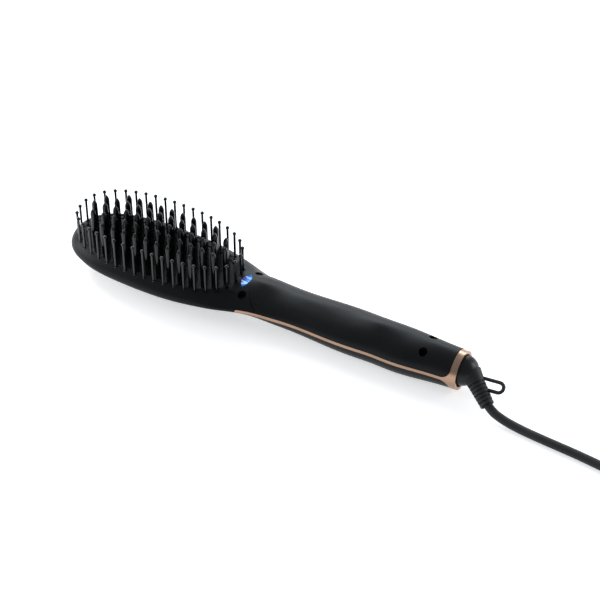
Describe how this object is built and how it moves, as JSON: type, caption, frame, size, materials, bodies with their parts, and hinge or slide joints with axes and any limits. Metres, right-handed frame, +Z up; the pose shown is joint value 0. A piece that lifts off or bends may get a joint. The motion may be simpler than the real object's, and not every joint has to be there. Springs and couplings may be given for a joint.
{
  "type": "heated styling brush",
  "caption": "Heated hair styling brush with an oval bristle field, a handle edged with a bright frame, push buttons and a display on its back, and a swivelling cord guard with cord and plug.",
  "frame": {"origin": "on the surface that the brush lies on, under the middle of the casing with its cord guard", "axes": "+X from the nose of the head to the cord, +Z up, the way the bristles point, +Y to the left seen from the nose's end towards the cord"},
  "size_m": [0.4788, 0.0987, 0.047],
  "materials": {
    "black_shell": "matte soft-touch black",
    "rose_gold": "rose-gold plated",
    "bristle_black": "glossy black coating",
    "pin_black": "glossy black",
    "blue_window": "lit blue, clear",
    "heater_metal": "bare",
    "steel": "plated",
    "fuse_body": "plain",
    "led_lens": "clear",
    "board_green": "solder mask",
    "component_black": "moulded",
    "display_glass": "dark tinted, glossy",
    "button_black": "satin black",
    "bush_white": "plain",
    "ball_black": "satin black",
    "boot_rubber": "matte",
    "cord_rubber": "matte",
    "plug_pin_metal": "nickel plated"
  },
  "bodies": {
    "casing": {"head_front": "black_shell", "handle_cover": "black_shell", "back_shell": "black_shell", "trim_frame": "rose_gold", "heater_plate": "bristle_black", "heating_teeth": "bristle_black", "pin_frame": "pin_black", "guard_pins": "pin_black", "ptc_heater": "heater_metal", "heater_clamp": "heater_metal", "clamp_screws": "steel", "thermal_fuse": "fuse_body", "ion_window": "blue_window", "indicator_led": "led_lens", "ion_generator": "component_black", "control_board": "board_green", "tact_switches": "component_black", "display_module": "component_black", "display_window": "display_glass", "case_screws": "steel", "swivel_bush": "bush_white", "cord_run": "cord_rubber", "cord_coil": "cord_rubber", "plug_body": "cord_rubber", "plug_pins": "plug_pin_metal"},
    "power_button": {"power_button": "button_black"},
    "warmer_button": {"warmer_button": "button_black"},
    "cooler_button": {"cooler_button": "button_black"},
    "swivel": {"swivel_ball": "ball_black", "cord_boot": "boot_rubber", "cord_lead": "cord_rubber"}
  },
  "joints": [
    {"name": "power_button_press", "type": "slide", "parent": "casing", "child": "power_button", "axis": [0, 0, 1], "range_m": [0, 0.0007], "stiffness_N_per_m": 1500},
    {"name": "warmer_button_press", "type": "slide", "parent": "casing", "child": "warmer_button", "axis": [0, 0, 1], "range_m": [0, 0.0007], "stiffness_N_per_m": 1500},
    {"name": "cooler_button_press", "type": "slide", "parent": "casing", "child": "cooler_button", "axis": [0, 0, 1], "range_m": [0, 0.0007], "stiffness_N_per_m": 1500},
    {"name": "cord_swivel", "type": "hinge", "parent": "casing", "child": "swivel", "pos_m": [0.12139, 0, 0.0155], "axis": [1, 0, 0], "continuous": true}
  ]
}
